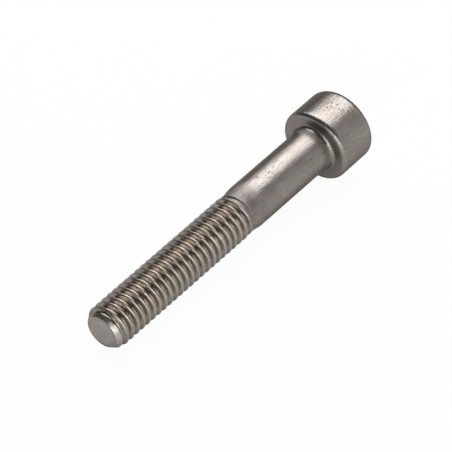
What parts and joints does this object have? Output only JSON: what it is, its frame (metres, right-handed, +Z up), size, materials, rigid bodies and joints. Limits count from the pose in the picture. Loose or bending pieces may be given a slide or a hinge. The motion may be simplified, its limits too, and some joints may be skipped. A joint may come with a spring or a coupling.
{
  "type": "cheese head screw with star drive",
  "caption": "Machine screw with a tall cylinder head, a six-lobe star socket, a plain shank and a right-hand thread up to its flat point.",
  "frame": {"origin": "on the surface that the screw lies on, under the middle of the screw", "axes": "+X from the point towards the head, +Z up, with the screw lying on the rim of its head and on its point, so that its axis rises towards the head by 2.9 degrees"},
  "size_m": [0.0462, 0.0098, 0.01],
  "materials": {
    "steel": "satin"
  },
  "bodies": {
    "root": {"screw": "steel"}
  },
  "joints": []
}
